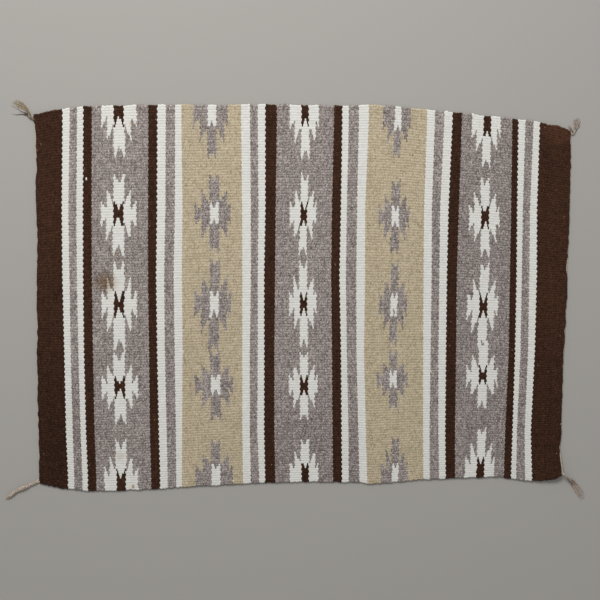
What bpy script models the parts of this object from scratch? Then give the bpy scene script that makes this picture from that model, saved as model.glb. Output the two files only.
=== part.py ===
"""A flat hand-woven wool rug with a plied or frayed cord end at each corner.

Metres, +Z up. The rug lies on its underside at Z = 0, with its length along X.
The origin is the middle of the underside. The warps run along X, each one a
rib raised in the upper face. The ends of the two edge cords leave the four
corners: three are frayed into tassels and one is still plied.
"""

import math

import bmesh
import bpy
from mathutils import Vector

MM = 0.001

# Weave
THICKNESS = 4.6 * MM
GROOVE_DEPTH = 1.2 * MM
END_DROP = 0.5 * MM
RIB_COUNT = 146
RIB_PITCH_BOTTOM = 3.84
RIB_PITCH_MIDDLE = 4.33
RIB_PITCH_TOP = 4.44

# Outline, in millimetres. The long edges are uneven, as hand weaving leaves them.
# x from the left end, y of the bottom edge, y of the top edge
LONG_EDGES = (
    (-434.0, -300.0, 294.0),
    (-408.0, -307.0, 302.6),
    (-355.0, -314.0, 310.6),
    (-265.0, -311.9, 312.3),
    (-190.0, -307.0, 312.7),
    (-75.0, -301.0, 313.4),
    (50.0, -298.4, 311.2),
    (108.0, -302.0, 312.8),
    (165.0, -297.8, 308.0),
    (240.0, -293.0, 299.7),
    (326.0, -291.0, 291.5),
    (376.0, -297.8, 284.8),
    (421.0, -289.0, 274.0),
    (433.0, -286.4, 265.5),
)
# y from the bottom corner, x of the left end, x of the right end
SHORT_ENDS = (
    (-300.0, -427.7, 420.2),
    (-245.0, -429.5, 415.2),
    (-165.0, -431.3, 418.3),
    (-60.0, -432.0, 423.5),
    (60.0, -432.5, 428.5),
    (150.0, -432.9, 431.2),
    (215.0, -433.2, 433.3),
    (300.0, -434.8, 433.0),
)

# Corners that curl up off the floor: x, y, height, reach, all in millimetres
CURLS = (
    (424.0, -292.0, 8.0, 85.0),
    (-436.0, 296.0, 2.5, 55.0),
)

# Corner cords. LEFT and RIGHT pick a row of LONG_EDGES, BOTTOM and TOP a share across.
LEFT, RIGHT = 0, -1
BOTTOM, TOP = 0.0, 1.0
CORD_SIDES = 10
LOCK_SIDES = 4
RING_STEP = 1.6 * MM
PLY_LOBES = 2
PLY_DEPTH = 0.2
PLY_PITCH = 8.5 * MM
KNOT_SEGMENTS = 12
KNOT_RINGS = 8
FLOOR_CLEARANCE = 0.1 * MM
LOCK_ROOT_SHARE = 0.35
LOCK_STEPS = 7
LOCK_TIP_SHARE = 0.4
LOCK_STAGGER = 0.23
LOCK_TILT = math.radians(7.0)

# What leaves each corner, measured from the cloth's corner point in millimetres:
# side and edge of the cloth, the plied cord from the cloth outwards as (x, y, z, radius),
# the knot's (x, y, z, radius), and the frayed locks that leave the knot as
# (heading in degrees, length, root radius, sideways bow).
CORNERS = {
    "tassel_top_left": {
        "side": LEFT,
        "edge": TOP,
        "cord": (
            (-0.5, -1.6, 4.2, 1.4),
            (-1.7, -1.6, 4.2, 1.5),
            (-4.0, -1.4, 3.6, 1.7),
            (-6.9, -0.4, 2.9, 1.9),
        ),
        "knot": (-8.1, 0.8, 2.9, 2.7),
        "locks": (
            (125.0, 31.0, 1.5, -2.0),
            (135.0, 33.0, 1.6, -3.0),
            (145.0, 36.0, 1.5, -1.5),
            (153.0, 38.0, 1.3, 1.0),
            (167.0, 32.0, 1.1, 2.0),
            (177.0, 33.0, 1.3, 0.5),
        ),
    },
    "tassel_top_right": {
        "side": RIGHT,
        "edge": TOP,
        "cord": (
            (-7.5, 7.6, 1.9, 1.2),
            (-2.5, 4.1, 1.9, 1.2),
            (2.2, 1.4, 2.0, 1.3),
            (4.7, 2.9, 2.2, 1.5),
        ),
        "knot": (6.7, 6.9, 2.4, 2.2),
        "locks": (
            (103.0, 19.0, 1.3, 1.0),
            (88.0, 22.0, 1.5, 0.5),
            (74.0, 23.0, 1.5, -0.5),
            (60.0, 22.0, 1.4, -1.0),
            (40.0, 14.0, 1.1, -1.0),
        ),
    },
    "cord_bottom_left": {
        "side": LEFT,
        "edge": BOTTOM,
        "cord": (
            (-0.9, 2.9, 2.6, 2.4),
            (-3.6, 2.2, 2.8, 2.6),
            (-8.0, -0.9, 2.8, 2.7),
            (-15.8, -5.6, 2.7, 2.6),
            (-27.3, -11.6, 2.5, 2.4),
            (-39.3, -18.6, 2.3, 2.2),
            (-47.8, -23.4, 1.9, 1.8),
            (-52.3, -25.0, 1.0, 0.9),
        ),
        "knot": None,
        "locks": (),
    },
    "tassel_bottom_right": {
        "side": RIGHT,
        "edge": BOTTOM,
        "cord": (
            (0.7, 1.6, 8.5, 1.3),
            (3.0, 1.1, 8.3, 1.4),
            (7.2, -1.8, 7.0, 1.6),
            (11.4, -6.9, 4.9, 1.8),
        ),
        "knot": (16.0, -12.0, 3.0, 2.5),
        "locks": (
            (-70.0, 24.0, 1.3, 1.0),
            (-64.0, 37.0, 1.5, 1.5),
            (-58.0, 43.0, 1.6, 0.5),
            (-51.0, 38.0, 1.5, -1.0),
            (-43.0, 36.0, 1.3, -2.0),
        ),
    },
}

# Finishes: sRGB colour and roughness
CLOTH_FINISH = ("woven_wool", (0.50, 0.45, 0.40), 0.92)
CORD_FINISH = ("cord_wool", (0.63, 0.57, 0.49), 0.9)


def clear_scene():
    """Remove every object that is there at the start."""
    for old in list(bpy.data.objects):
        bpy.data.objects.remove(old, do_unlink=True)


def linear(channel):
    """One sRGB channel as a linear value."""
    return channel / 12.92 if channel <= 0.04045 else ((channel + 0.055) / 1.055) ** 2.4


def finish(name, colour, roughness):
    """A plain wool finish."""
    material = bpy.data.materials.new(name)
    material.use_nodes = True
    shader = material.node_tree.nodes["Principled BSDF"]
    shader.inputs["Base Color"].default_value = (*(linear(c) for c in colour), 1.0)
    shader.inputs["Roughness"].default_value = roughness
    shader.inputs["Metallic"].default_value = 0.0
    return material


def read_table(table, at, column):
    """The column's value where the table's first column is at, straight between rows."""
    at = min(max(at, table[0][0]), table[-1][0])
    for low, high in zip(table, table[1:]):
        if at <= high[0]:
            share = (at - low[0]) / (high[0] - low[0])
            return low[column] + (high[column] - low[column]) * share
    return table[-1][column]


def rib_places():
    """How far across the rug each groove and crest lies, from 0 to 1, bottom to top."""
    steps = 2 * RIB_COUNT
    places = [0.0]
    for step in range(steps):
        share = 2.0 * (step + 0.5) / steps
        if share < 1.0:
            pitch = RIB_PITCH_BOTTOM + (RIB_PITCH_MIDDLE - RIB_PITCH_BOTTOM) * share
        else:
            pitch = RIB_PITCH_MIDDLE + (RIB_PITCH_TOP - RIB_PITCH_MIDDLE) * (share - 1.0)
        places.append(places[-1] + pitch)
    return [place / places[-1] for place in places]


def outline_point(station, across):
    """The plan position of a share across the rug, on the station that starts at LONG_EDGES x."""
    left_x = LONG_EDGES[0][0]
    right_x = LONG_EDGES[-1][0]
    along = (station - left_x) / (right_x - left_x)
    bottom = read_table(LONG_EDGES, station, 1)
    top = read_table(LONG_EDGES, station, 2)
    y = bottom + (top - bottom) * across
    left = read_table(SHORT_ENDS, y, 1)
    right = read_table(SHORT_ENDS, y, 2)
    return left + (right - left) * along, y


def curl_height(x, y):
    """How far the curled corners lift the cloth off the floor at this plan position."""
    lift = 0.0
    for corner_x, corner_y, height, reach in CURLS:
        distance = math.hypot(x - corner_x, y - corner_y)
        lift += height * max(0.0, 1.0 - distance / reach) ** 2
    return lift


def linked(name, bm, collection, material):
    """An object in the collection from a bmesh, shaded smooth where it is round."""
    bmesh.ops.recalc_face_normals(bm, faces=bm.faces[:])
    mesh = bpy.data.meshes.new(name)
    bm.to_mesh(mesh)
    bm.free()
    mesh.materials.append(material)
    mesh.shade_smooth()
    mesh.set_sharp_from_angle(angle=math.radians(50.0))
    thing = bpy.data.objects.new(name, mesh)
    collection.objects.link(thing)
    return thing


def woven_body(collection, material):
    """The cloth: one slab with a rib over each warp, thinner grooves and rounded ends."""
    columns = len(LONG_EDGES) - 1
    rows = 2 * RIB_COUNT
    across = rib_places()
    bm = bmesh.new()
    bmesh.ops.create_grid(bm, x_segments=columns, y_segments=rows, size=1.0)
    place_of = {}
    for vert in bm.verts:
        column = round((vert.co.x + 1.0) / 2.0 * columns)
        row = round((vert.co.y + 1.0) / 2.0 * rows)
        x, y = outline_point(LONG_EDGES[column][0], across[row])
        vert.co = Vector((x * MM, y * MM, curl_height(x, y) * MM))
        place_of[(vert.co.x, vert.co.y)] = (column, row)
    made = bmesh.ops.extrude_face_region(bm, geom=bm.faces[:])["geom"]
    upper = [item for item in made if isinstance(item, bmesh.types.BMVert)]
    for vert in upper:
        column, row = place_of[(vert.co.x, vert.co.y)]
        height = THICKNESS if row % 2 else THICKNESS - GROOVE_DEPTH
        if column in (0, columns):
            height -= END_DROP
        vert.co.z += height
    lower = [f for f in bm.faces if all(abs(v.co.z) < 1e-7 for v in f.verts)]
    bmesh.ops.dissolve_faces(bm, faces=lower)
    return linked("woven_body", bm, collection, material)


def smooth_route(points, step):
    """Points every step along a smooth curve through the given (x, y, z, radius) points."""
    path = [Vector(point[:3]) * MM for point in points]
    radii = [point[3] * MM for point in points]
    route = []
    for i in range(len(path) - 1):
        before = path[max(i - 1, 0)]
        start, end = path[i], path[i + 1]
        after = path[min(i + 2, len(path) - 1)]
        count = max(2, round((end - start).length / step))
        for k in range(count):
            t = k / count
            place = 0.5 * (
                2.0 * start
                + (end - before) * t
                + (2.0 * before - 5.0 * start + 4.0 * end - after) * t * t
                + (3.0 * start - before - 3.0 * end + after) * t ** 3
            )
            route.append((place, radii[i] + (radii[i + 1] - radii[i]) * t))
    route.append((path[-1], radii[-1]))
    return route


def swept(route, sides, lobe_depth=0.0, lobe_pitch=1.0, roll=0.0):
    """A closed strand along the route, its section rolled, lobed and turned like plied yarn."""
    bm = bmesh.new()
    ring = bmesh.ops.create_circle(bm, cap_ends=True, segments=sides, radius=1.0)["verts"]
    end_face = bm.faces[:][0]
    travelled = 0.0
    for i, (place, radius) in enumerate(route):
        if i:
            travelled += (place - route[i - 1][0]).length
            made = bmesh.ops.extrude_face_region(bm, geom=[end_face])["geom"]
            if i > 1:
                bmesh.ops.delete(bm, geom=[end_face], context="FACES_ONLY")
            end_face = next(f for f in made if isinstance(f, bmesh.types.BMFace))
            ring = list(end_face.verts)
        ahead = route[min(i + 1, len(route) - 1)][0] - route[max(i - 1, 0)][0]
        ahead.normalize()
        side = ahead.cross(Vector((0.0, 0.0, 1.0))).normalized()
        up = side.cross(ahead)
        turn = 2.0 * math.pi * travelled / lobe_pitch
        for k, vert in enumerate(ring):
            angle = 2.0 * math.pi * (k + 0.5) / sides + roll
            lobe = 1.0 + lobe_depth * math.cos(PLY_LOBES * (angle - turn))
            reach = radius * lobe / (1.0 + lobe_depth)
            vert.co = place + side * (reach * math.cos(angle)) + up * (reach * math.sin(angle))
    return bm


def moved(row, corner):
    """A row of a corner's layout, from that corner's own place to the rug's frame."""
    return (row[0] + corner[0], row[1] + corner[1], *row[2:])


def plied_cord(points):
    """The two-ply edge cord through the given points."""
    return swept(smooth_route(points, RING_STEP), CORD_SIDES, PLY_DEPTH, PLY_PITCH)


def knot(x, y, z, radius):
    """The knot that stops the cord from fraying further."""
    bm = bmesh.new()
    bmesh.ops.create_uvsphere(bm, u_segments=KNOT_SEGMENTS, v_segments=KNOT_RINGS, radius=radius * MM)
    bmesh.ops.translate(bm, vec=Vector((x, y, z)) * MM, verts=bm.verts[:])
    return bm


def lock(number, knot_place, heading, length, radius, bow):
    """One frayed lock that leaves the knot, comes down and lies level on the floor.

    Each lock starts a little higher than the one before, and is rolled a little more.
    """
    x, y, z, knot_radius = knot_place
    z += LOCK_STAGGER * (number - 2)
    angle = math.radians(heading)
    ahead = Vector((math.cos(angle), math.sin(angle), 0.0))
    aside = Vector((-ahead.y, ahead.x, 0.0))
    start = knot_radius * LOCK_ROOT_SHARE
    points = []
    for step in range(LOCK_STEPS + 1):
        t = step / LOCK_STEPS
        thick = radius * (1.0 - (1.0 - LOCK_TIP_SHARE) * t * t)
        fall = min(1.0, 2.5 * t)
        fall = fall * fall * (3.0 - 2.0 * fall)
        level = thick + FLOOR_CLEARANCE / MM
        plan = ahead * (start + (length - start) * t) + aside * (bow * math.sin(math.pi * t))
        points.append((x + plan.x, y + plan.y, z + (level - z) * fall, thick))
    route = [(Vector(point[:3]) * MM, point[3] * MM) for point in points]
    return swept(route, LOCK_SIDES, roll=LOCK_TILT * number)


def fused(name, pieces, collection, material):
    """One solid from overlapping pieces, joined at their roots."""
    helpers = bpy.data.collections.new(name + "_pieces")
    bpy.context.scene.collection.children.link(helpers)
    base = linked(name, pieces[0], collection, material)
    for number, piece in enumerate(pieces[1:]):
        linked(f"{name}_piece_{number}", piece, helpers, material)
    if len(pieces) > 1:
        join = base.modifiers.new("join", "BOOLEAN")
        join.operation = "UNION"
        join.solver = "EXACT"
        join.operand_type = "COLLECTION"
        join.collection = helpers
        bpy.context.view_layer.update()
        graph = bpy.context.evaluated_depsgraph_get()
        whole = bpy.data.meshes.new_from_object(base.evaluated_get(graph))
        base.modifiers.clear()
        base.data = whole
    for helper in list(helpers.objects):
        bpy.data.objects.remove(helper, do_unlink=True)
    bpy.data.collections.remove(helpers)
    return base


def corner_cord(name, layout, collection, material):
    """What leaves one corner: the plied cord, then its knot and frayed locks if it has them."""
    corner = outline_point(LONG_EDGES[layout["side"]][0], layout["edge"])
    route = [moved(row, corner) for row in layout["cord"]]
    pieces = []
    if layout["knot"]:
        knot_place = moved(layout["knot"], corner)
        route.append((*knot_place[:3], route[-1][3]))
        pieces.append(knot(*knot_place))
        pieces += [lock(number, knot_place, *row) for number, row in enumerate(layout["locks"])]
    pieces.insert(0, plied_cord(route))
    return fused(name, pieces, collection, material)


def main():
    """Build the cloth and the four corners."""
    clear_scene()
    rug = bpy.data.collections.new("hand_woven_rug")
    bpy.context.scene.collection.children.link(rug)
    woven_body(rug, finish(*CLOTH_FINISH))
    cord_wool = finish(*CORD_FINISH)
    for name, layout in CORNERS.items():
        corner_cord(name, layout, rug, cord_wool)


main()
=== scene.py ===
"""Looks of a flat hand-woven wool rug with a plied or frayed cord end at each corner.

The cloth is weft-faced tapestry weave. Its warps run along X, one under each rib, and are
wholly covered by the wefts that run along Y. A weft shows on every second rib as one bead.
The next weft shows on the ribs between, half a bead further on. Two wefts of different
colours therefore meet in small teeth, and a slanted line climbs from rib to rib. Each bead
has one of four yarns, worked out from the stripes and from the charted figures.

Plan sizes are in millimetres in the tables and in metres in the scene, +Z up.
"""

import enum
import logging
import math
from dataclasses import dataclass, field

import bpy
import numpy as np
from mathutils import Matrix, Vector


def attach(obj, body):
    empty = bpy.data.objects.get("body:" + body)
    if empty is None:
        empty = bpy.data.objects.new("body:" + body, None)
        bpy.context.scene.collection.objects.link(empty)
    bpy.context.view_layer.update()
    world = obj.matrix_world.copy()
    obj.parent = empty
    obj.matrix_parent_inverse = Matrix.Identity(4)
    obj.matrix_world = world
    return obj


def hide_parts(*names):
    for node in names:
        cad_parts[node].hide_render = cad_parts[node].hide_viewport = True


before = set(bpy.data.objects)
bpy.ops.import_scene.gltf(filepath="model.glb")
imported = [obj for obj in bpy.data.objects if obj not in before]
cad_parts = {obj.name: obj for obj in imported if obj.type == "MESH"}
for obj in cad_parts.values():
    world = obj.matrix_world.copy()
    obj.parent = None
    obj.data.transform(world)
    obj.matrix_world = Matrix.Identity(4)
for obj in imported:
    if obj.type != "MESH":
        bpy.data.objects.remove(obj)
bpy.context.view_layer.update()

LOG = logging.getLogger("rug")
MM = 0.001
TAU = 2.0 * math.pi


class Yarn(enum.IntEnum):
    """The four weft yarns. The number is the yarn's material slot."""

    BROWN = 0
    WHITE = 1
    GREY = 2
    GOLD = 3


class CordHue(enum.IntEnum):
    """The hues of the undyed wool in the cords. The number is the material slot."""

    SAND = 0
    TAN = 1
    TAUPE = 2
    ROSE = 3
    CREAM = 4


@dataclass(frozen=True)
class Lock:
    """One frayed lock: its wool, how many fibres it has, and x, y and half width along it."""

    hue: CordHue
    fibres: int
    line: tuple[tuple[float, float, float], ...]


@dataclass(frozen=True)
class CornerLayout:
    """What leaves one corner of the cloth, in millimetres from the corner point.

    The cord and the loops are rows of x, y, z and radius from the cloth outwards. The knot
    is one such row, or None. The plies of the cord have the three hues.
    """

    corner: tuple[float, float]
    hues: tuple[CordHue, CordHue, CordHue]
    cord: tuple[tuple[float, float, float, float], ...]
    knot: tuple[float, float, float, float] | None = None
    loops: tuple[tuple[tuple[float, float, float, float], ...], ...] = ()
    locks: tuple[Lock, ...] = ()


# The cloth's plan. x from the left end, y of the bottom edge, y of the top edge
LONG_EDGES = (
    (-434.0, -301.5, 296.6),
    (-426.0, -303.0, 298.6),
    (-408.0, -307.0, 303.0),
    (-355.0, -314.0, 310.6),
    (-265.0, -311.9, 312.3),
    (-190.0, -307.0, 312.7),
    (-75.0, -301.0, 313.4),
    (50.0, -298.4, 311.2),
    (108.0, -302.0, 312.8),
    (165.0, -297.8, 308.0),
    (240.0, -293.0, 299.7),
    (326.0, -291.0, 291.5),
    (376.0, -297.8, 284.8),
    (408.0, -295.4, 277.2),
    (421.0, -289.5, 274.0),
    (433.0, -286.4, 265.5),
)
# y from the bottom corner, x of the left end, x of the right end
SHORT_ENDS = (
    (-300.0, -427.7, 420.2),
    (-294.0, -429.4, 419.6),
    (-286.0, -428.2, 418.9),
    (-245.0, -429.5, 415.2),
    (-165.0, -431.3, 418.3),
    (-60.0, -432.0, 423.5),
    (60.0, -432.5, 428.5),
    (150.0, -432.9, 431.2),
    (215.0, -433.2, 433.3),
    (268.0, -434.4, 433.2),
    (290.0, -436.2, 433.0),
    (300.0, -437.2, 433.0),
)
# Corners that curl up off the floor: x, y, height, reach
CURLS = (
    (424.0, -292.0, 8.0, 85.0),
    (-436.0, 296.0, 2.5, 55.0),
)

# The stripes from left to right: yarn, then x of the right-hand side at the heights of
# STRIPE_HEIGHTS. The last stripe ends at the cloth's right end.
STRIPE_HEIGHTS = (-290.0, -218.0, -87.0, 36.0, 142.0, 288.0)
STRIPES = (
    (Yarn.BROWN, -381.5, -384.8, -387.6, -390.8, -391.7, -390.6),
    (Yarn.WHITE, -371.6, -374.0, -377.4, -379.4, -381.1, -379.0),
    (Yarn.GREY, -358.3, -361.3, -365.0, -367.4, -368.1, -367.1),
    (Yarn.WHITE, -349.6, -352.6, -355.9, -357.3, -357.6, -357.0),
    (Yarn.BROWN, -335.7, -338.6, -341.2, -343.1, -343.4, -343.1),
    (Yarn.GREY, -247.0, -249.0, -250.4, -252.1, -252.0, -251.5),
    (Yarn.BROWN, -232.3, -234.4, -237.1, -238.8, -237.4, -236.9),
    (Yarn.WHITE, -220.2, -221.8, -224.6, -225.8, -223.9, -223.2),
    (Yarn.GREY, -206.3, -206.9, -208.9, -210.6, -208.5, -208.2),
    (Yarn.WHITE, -197.1, -196.8, -195.9, -197.2, -196.2, -198.0),
    (Yarn.GOLD, -98.0, -99.1, -99.2, -99.2, -99.6, -101.1),
    (Yarn.WHITE, -85.5, -87.1, -87.0, -85.3, -85.4, -86.7),
    (Yarn.GREY, -72.0, -74.9, -74.2, -74.1, -73.1, -74.2),
    (Yarn.WHITE, -62.3, -63.8, -63.6, -63.8, -61.9, -61.9),
    (Yarn.BROWN, -45.9, -47.2, -47.3, -46.0, -45.1, -43.2),
    (Yarn.GREY, 47.7, 47.0, 46.1, 44.8, 46.0, 49.5),
    (Yarn.BROWN, 62.4, 61.7, 60.8, 58.3, 60.7, 62.9),
    (Yarn.WHITE, 73.2, 72.9, 70.3, 68.7, 70.2, 73.4),
    (Yarn.GREY, 90.5, 88.8, 85.7, 85.5, 86.7, 89.7),
    (Yarn.WHITE, 103.2, 101.0, 97.9, 99.8, 99.9, 105.8),
    (Yarn.GOLD, 194.2, 193.7, 193.9, 194.5, 195.3, 200.3),
    (Yarn.WHITE, 204.4, 204.3, 206.0, 207.8, 208.1, 213.0),
    (Yarn.GREY, 219.8, 218.5, 218.6, 220.1, 221.4, 228.3),
    (Yarn.WHITE, 230.4, 229.6, 230.9, 232.4, 234.9, 241.5),
    (Yarn.BROWN, 245.7, 245.6, 247.3, 248.5, 251.7, 256.8),
    (Yarn.GREY, 324.7, 326.7, 332.6, 334.6, 336.4, 338.5),
    (Yarn.BROWN, 336.3, 338.9, 342.9, 345.4, 346.3, 348.2),
    (Yarn.WHITE, 344.8, 345.8, 351.7, 354.0, 355.6, 359.9),
    (Yarn.GREY, 359.1, 358.4, 363.9, 366.0, 367.0, 373.2),
    (Yarn.WHITE, 370.0, 368.3, 374.8, 378.0, 378.3, 383.2),
)
LAST_STRIPE = Yarn.BROWN


@dataclass(frozen=True)
class FigureShape:
    """The measures of one kind of figure, from its centre.

    A column with a notch at each end, a pair of inner and of outer arms on each side whose
    tops climb outwards, and a heart with a wedge out of each end. Its four quarters mirror
    each other, but the outer arms on the right may be narrower.
    """

    yarn: Yarn
    heart_yarn: Yarn
    column: float
    length: float
    notch: float
    inner: float
    inner_low: float
    inner_high: float
    outer: float
    outer_right: float
    outer_low: float
    outer_high: float
    heart: float
    heart_height: float
    heart_neck: float
    heart_gap: float

    def drawn(self, across: np.ndarray, along: np.ndarray, ground: np.ndarray) -> np.ndarray:
        """The ground's yarns with this figure worked into them.

        Args:
            across: distance from the centre over the ribs' length, in millimetres.
            along: distance from the centre over the ribs' count, in millimetres.
            ground: the yarn of each bead before the figure.

        Returns:
            The yarn of each bead.
        """
        side = np.abs(across)
        end = np.abs(along)
        notch_wall = self.length - self.notch * (1.0 - side / (0.85 * self.column))
        column = (side <= self.column) & (end <= np.minimum(self.length, notch_wall))
        rise = (side - self.column) / (self.inner - self.column)
        inner_top = self.inner_low + (self.inner_high - self.inner_low) * rise
        inner = (side > self.column) & (side <= self.inner) & (end <= inner_top)
        reach = np.where(across > 0.0, self.outer_right, self.outer)
        rise = (side - self.inner) / (reach - self.inner)
        outer_top = self.outer_low + (self.outer_high - self.outer_low) * rise
        outer = (side > self.inner) & (side <= reach) & (end <= outer_top)
        yarns = np.where(column | inner | outer, int(self.yarn), ground)
        wedge = (end - self.heart_neck) / (self.heart_height - self.heart_neck)
        heart = (side <= self.heart) & (end <= self.heart_height)
        heart &= side >= wedge * self.heart_gap * self.heart
        return np.where(heart, int(self.heart_yarn), yarns)


BROAD = FigureShape(
    Yarn.WHITE, Yarn.BROWN, 9.0, 65.0, 17.5, 19.3, 15.5, 41.0, 28.4, 28.4, 5.5, 22.0, 8.0, 19.0, 3.0, 0.7
)
SLIM = FigureShape(
    Yarn.WHITE, Yarn.BROWN, 6.4, 65.0, 14.0, 16.0, 16.3, 40.5, 23.6, 20.9, 6.0, 20.5, 5.8, 18.5, 5.5, 0.68
)
PALE = FigureShape(
    Yarn.GREY, Yarn.WHITE, 7.6, 64.0, 10.5, 19.7, 17.5, 39.7, 30.4, 25.8, 6.0, 19.5, 6.6, 18.3, 6.5, 0.5
)

# Where the figures sit, in columns from the bottom edge up: shape, x and y of the centre,
# stretch along X, stretch of the half above and of the half below, lean along X for each Y.
# The half of a figure that the edge cuts off has so much stretch that it shows no notch.
FIGURES = (
    (BROAD, -295.4, -297.9, 0.96, 1.07, 9.00, -0.01),
    (BROAD, -297.7, -144.6, 1.04, 0.87, 0.96, -0.03),
    (BROAD, -298.7, -11.0, 1.02, 1.09, 1.17, -0.01),
    (BROAD, -299.7, 136.5, 1.02, 1.00, 1.07, 0.01),
    (BROAD, -299.5, 299.1, 1.01, 9.00, 1.13, -0.02),
    (PALE, -142.1, -288.0, 1.07, 0.91, 9.00, -0.01),
    (PALE, -142.5, -141.9, 1.10, 0.85, 0.91, -0.02),
    (PALE, -144.7, -9.6, 1.06, 1.14, 1.24, 0.02),
    (PALE, -144.7, 136.0, 1.04, 1.00, 1.00, -0.01),
    (PALE, -148.5, 296.7, 1.00, 9.00, 1.13, 0.00),
    (SLIM, 2.5, -283.0, 1.03, 0.84, 9.00, -0.01),
    (SLIM, 0.9, -142.3, 1.05, 0.85, 0.87, 0.00),
    (SLIM, 0.2, -10.2, 1.00, 1.10, 1.11, -0.01),
    (SLIM, 0.4, 134.4, 0.95, 1.02, 1.02, 0.03),
    (SLIM, 2.8, 295.1, 1.05, 9.00, 1.08, 0.00),
    (PALE, 148.6, -285.4, 0.76, 0.95, 9.00, 0.00),
    (PALE, 145.5, -132.6, 0.87, 0.74, 0.76, 0.00),
    (PALE, 146.5, -11.9, 0.81, 1.09, 1.06, 0.03),
    (PALE, 148.6, 130.4, 0.88, 0.93, 0.95, 0.03),
    (PALE, 153.2, 290.1, 0.80, 9.00, 1.01, 0.04),
    (SLIM, 286.7, -276.2, 1.06, 1.02, 9.00, 0.04),
    (SLIM, 290.4, -127.7, 1.14, 0.91, 0.82, 0.03),
    (SLIM, 291.5, -13.4, 1.12, 1.08, 1.08, 0.04),
    (SLIM, 294.3, 129.6, 1.10, 1.02, 0.98, 0.00),
    (SLIM, 297.7, 279.0, 1.05, 9.00, 1.06, 0.03),
)

# Single beads of another yarn that show in a plain field: x, y, yarn
SPECKS = (
    (-352.4, 192.0, Yarn.WHITE),
    (-392.9, -281.1, Yarn.WHITE),
    (343.4, 187.1, Yarn.BROWN),
    (417.2, -206.6, Yarn.GOLD),
    (406.6, -247.1, Yarn.GOLD),
)

# Where the cloth is made lighter in tone: x, y, reach along X and Y, strength
LIGHTER_SPOTS = (
    (415.0, 268.0, 30.0, 22.0, 0.34),
    (-405.0, 130.0, 40.0, 190.0, 0.07),
    (405.0, 60.0, 40.0, 190.0, 0.1),
)

# Where the cloth is made darker in tone: x, y, reach along X, reach along Y, strength
DARKER_SPOTS = (
    (-405.0, -235.0, 60.0, 130.0, 0.12),
    (10.0, -270.0, 110.0, 110.0, 0.06),
    (290.0, 0.0, 90.0, 420.0, 0.04),
)

# Tan stains that wash the wool: x, y, reach along X, reach along Y, strength
STAINS = (
    (-321.6, 25.1, 20.0, 17.0, 0.75),
    (-296.5, -256.8, 9.0, 7.0, 0.3),
    (-276.2, -306.5, 2.6, 3.4, 1.0),
    (-275.0, 281.1, 9.0, 5.0, 0.35),
    (-323.2, 216.3, 7.0, 5.0, 0.3),
    (-256.8, 300.5, 8.0, 5.0, 0.3),
    (-307.6, 70.5, 7.0, 5.0, 0.35),
)


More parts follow.
